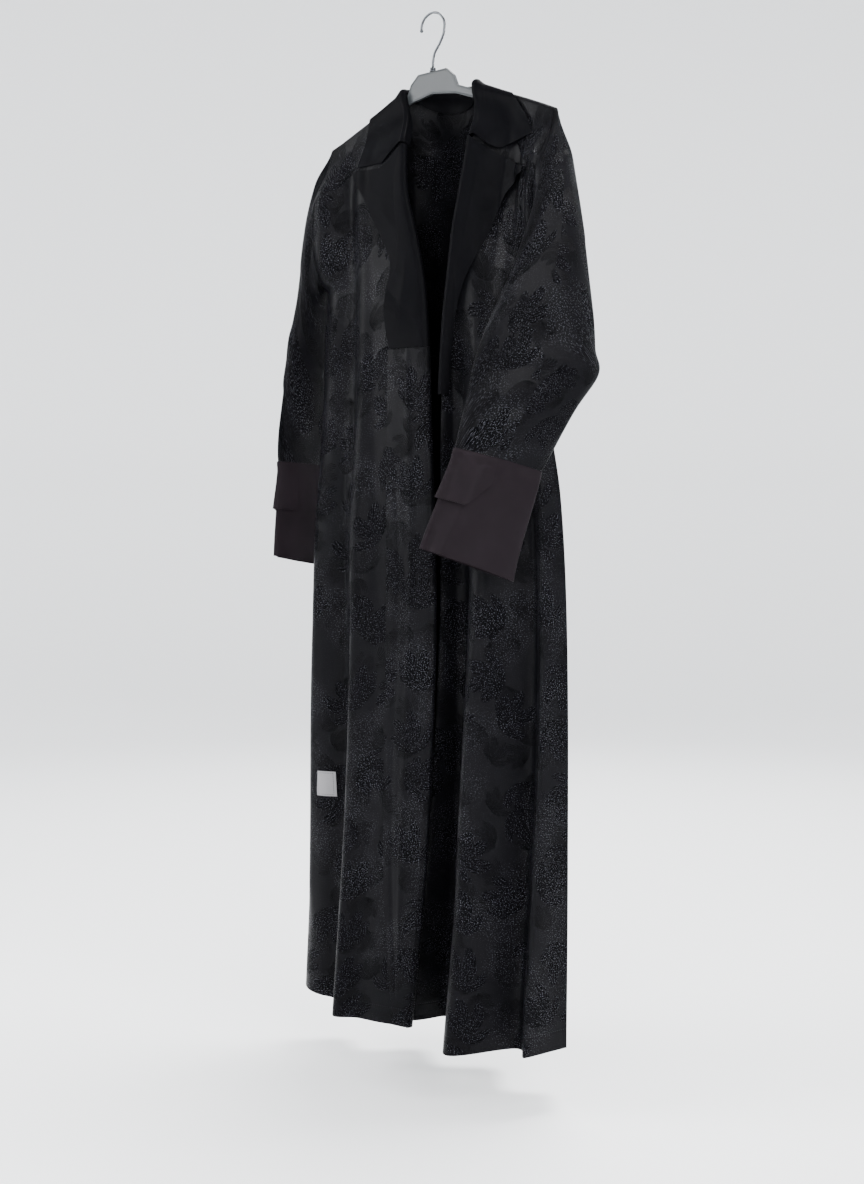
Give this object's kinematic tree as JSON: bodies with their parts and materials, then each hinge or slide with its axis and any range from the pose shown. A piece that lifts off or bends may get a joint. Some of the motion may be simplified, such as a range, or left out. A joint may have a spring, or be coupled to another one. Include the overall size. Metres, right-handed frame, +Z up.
{
  "type": "abaya cloak on a hanger",
  "caption": "Full-length black open-front abaya cloak with satin lapels and cuffs, hanging on a flat grey clothes hanger.",
  "frame": {"origin": "inside top of the hanger's hook, where a rod or a peg holds it", "axes": "+Z up, +X towards the wearer's left, the open front faces -Y"},
  "size_m": [0.6163, 0.3487, 1.5754],
  "materials": {
    "jacquard": "black satin-ground jacquard with leaf sprays, soft sheen",
    "satin": "smooth black satin",
    "cuff_satin": "warm dark satin",
    "woven_patch": "plain silver-grey weave",
    "grey_plastic": "fine matte moulding",
    "chrome": "bright chrome wire"
  },
  "bodies": {
    "root": {"back": "jacquard", "collar": "satin", "hanger_body": "grey_plastic", "hanger_ferrule": "chrome", "hanger_hook": "chrome", "label_patch": "woven_patch", "left_cuff": "cuff_satin", "left_cuff_tab": "cuff_satin", "left_front": "jacquard", "left_lapel": "satin", "left_sleeve": "jacquard", "right_cuff": "cuff_satin", "right_cuff_tab": "cuff_satin", "right_front": "jacquard", "right_lapel": "satin", "right_sleeve": "jacquard", "right_turnback": "jacquard"}
  },
  "joints": []
}
